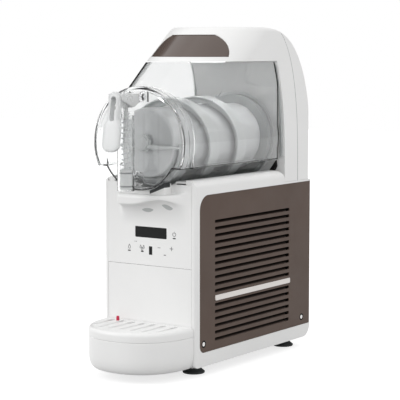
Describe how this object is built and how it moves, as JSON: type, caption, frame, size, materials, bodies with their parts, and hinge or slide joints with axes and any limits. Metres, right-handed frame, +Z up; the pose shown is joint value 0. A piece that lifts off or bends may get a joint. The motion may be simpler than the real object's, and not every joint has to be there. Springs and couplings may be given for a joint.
{
  "type": "slush machine",
  "caption": "Counter-top slush machine with a clear horizontal bowl, turning auger, lever tap, louvred cabinet and pull-out drip tray.",
  "frame": {"origin": "on the table, under the middle of the machine's box", "axes": "+Z up, -Y towards the user, +X to the user's right when facing the machine"},
  "size_m": [0.2012, 0.503, 0.615],
  "materials": {
    "white_shell": "white moulded plastic, soft gloss",
    "brown_panel": "dark brown satin plastic",
    "brown_band": "dark brown high gloss plastic",
    "trim": "satin aluminium strip",
    "steel": "stainless steel",
    "sheet": "grey painted sheet steel",
    "dark_lens": "smoked black lens",
    "board": "green circuit board",
    "rubber": "charcoal rubber",
    "black_plastic": "black moulded plastic",
    "lamp": "milky diffuser",
    "white_inner": "off-white food-grade plastic",
    "casting": "raw die casting",
    "black_metal": "black enamel",
    "fins": "thin aluminium fins on tubes",
    "copper": "bare copper pipe",
    "clear_bowl": "clear moulded plastic",
    "red_float": "red moulded plastic"
  },
  "bodies": {
    "cabinet": {"left_side_frame": "white_shell", "right_side_frame": "white_shell", "control_fascia": "white_shell", "splash_panel": "white_shell", "cradle_deck": "white_shell", "hood": "white_shell", "chute_sleeve": "white_shell", "rear_cover": "white_shell", "left_side_panel": "brown_panel", "right_side_panel": "brown_panel", "hood_band": "brown_band", "trim_bars": "trim", "panel_screws": "steel", "foot_studs": "steel", "evaporator": "steel", "shaft_bearing": "steel", "tray_tongues": "steel", "base_pan": "sheet", "rear_panel": "sheet", "bulkhead": "sheet", "display_lenses": "dark_lens", "display_board": "board", "control_board": "board", "bowl_saddle": "rubber", "front_left_foot": "rubber", "front_right_foot": "rubber", "rear_left_foot": "rubber", "rear_right_foot": "rubber", "bowl_gasket": "rubber", "compressor_mounts": "rubber", "cable_gland": "black_plastic", "fan_shroud": "black_plastic", "hood_lamps": "lamp", "shaft_bush": "white_inner", "gearbox_case": "casting", "gearbox_cover": "casting", "gear_motor": "black_metal", "compressor": "black_metal", "fan_motor": "black_metal", "condenser": "fins", "discharge_line": "copper"},
    "auger": {"drive_shaft": "steel", "auger_spiral": "white_inner", "auger_spider": "white_inner", "auger_cap": "white_inner", "output_gear": "white_inner"},
    "pinion": {"motor_pinion": "steel"},
    "fan": {"fan_blades": "black_plastic"},
    "bowl_unit": {"bowl": "clear_bowl", "tap_tube": "clear_bowl", "tap_cap": "clear_bowl", "lever_pin": "steel", "tap_spring": "steel"},
    "lever": {"tap_lever": "clear_bowl"},
    "piston": {"tap_piston": "white_inner", "piston_rings": "rubber"},
    "lid": {"refill_lid": "white_shell"},
    "tray": {"drip_tray": "white_shell"},
    "tray_lid": {"drip_cover": "white_shell"},
    "float": {"tray_float": "red_float"}
  },
  "joints": [
    {"name": "auger_spin", "type": "hinge", "parent": "cabinet", "child": "auger", "pos_m": [0, 0, 0.411], "axis": [0, 1, 0], "continuous": true},
    {"name": "pinion_spin", "type": "hinge", "parent": "cabinet", "child": "pinion", "pos_m": [0, 0, 0.355], "axis": [0, 1, 0], "continuous": true},
    {"name": "fan_spin", "type": "hinge", "parent": "cabinet", "child": "fan", "pos_m": [0, 0, 0.1], "axis": [0, 1, 0], "continuous": true},
    {"name": "bowl_slide", "type": "slide", "parent": "cabinet", "child": "bowl_unit", "axis": [0, -1, 0], "range_m": [0, 0.33]},
    {"name": "lever_pivot", "type": "hinge", "parent": "bowl_unit", "child": "lever", "pos_m": [0, -0.17972, 0.49299], "axis": [-1, 0, 0], "range_deg": [0, 50], "stiffness_Nm_per_rad": 0.6},
    {"name": "piston_slide", "type": "slide", "parent": "bowl_unit", "child": "piston", "axis": [0, 0, 1], "range_m": [0, 0.0222], "deforming": ["tap_spring"]},
    {"name": "lid_lift", "type": "slide", "parent": "cabinet", "child": "lid", "axis": [0, 0, 1], "range_m": [0, 0.1]},
    {"name": "tray_slide", "type": "slide", "parent": "cabinet", "child": "tray", "axis": [0, -1, 0], "range_m": [0, 0.12]},
    {"name": "cover_lift", "type": "slide", "parent": "tray", "child": "tray_lid", "axis": [0, 0, 1], "range_m": [0, 0.08]},
    {"name": "float_rise", "type": "slide", "parent": "tray", "child": "float", "axis": [0, 0, 1], "range_m": [0, 0.012]}
  ],
  "couplings": [
    {"joint": "pinion_spin", "follows": "auger_spin", "ratio": -3},
    {"joint": "piston_slide", "follows": "lever_pivot", "m_per_rad": 0.025183}
  ]
}
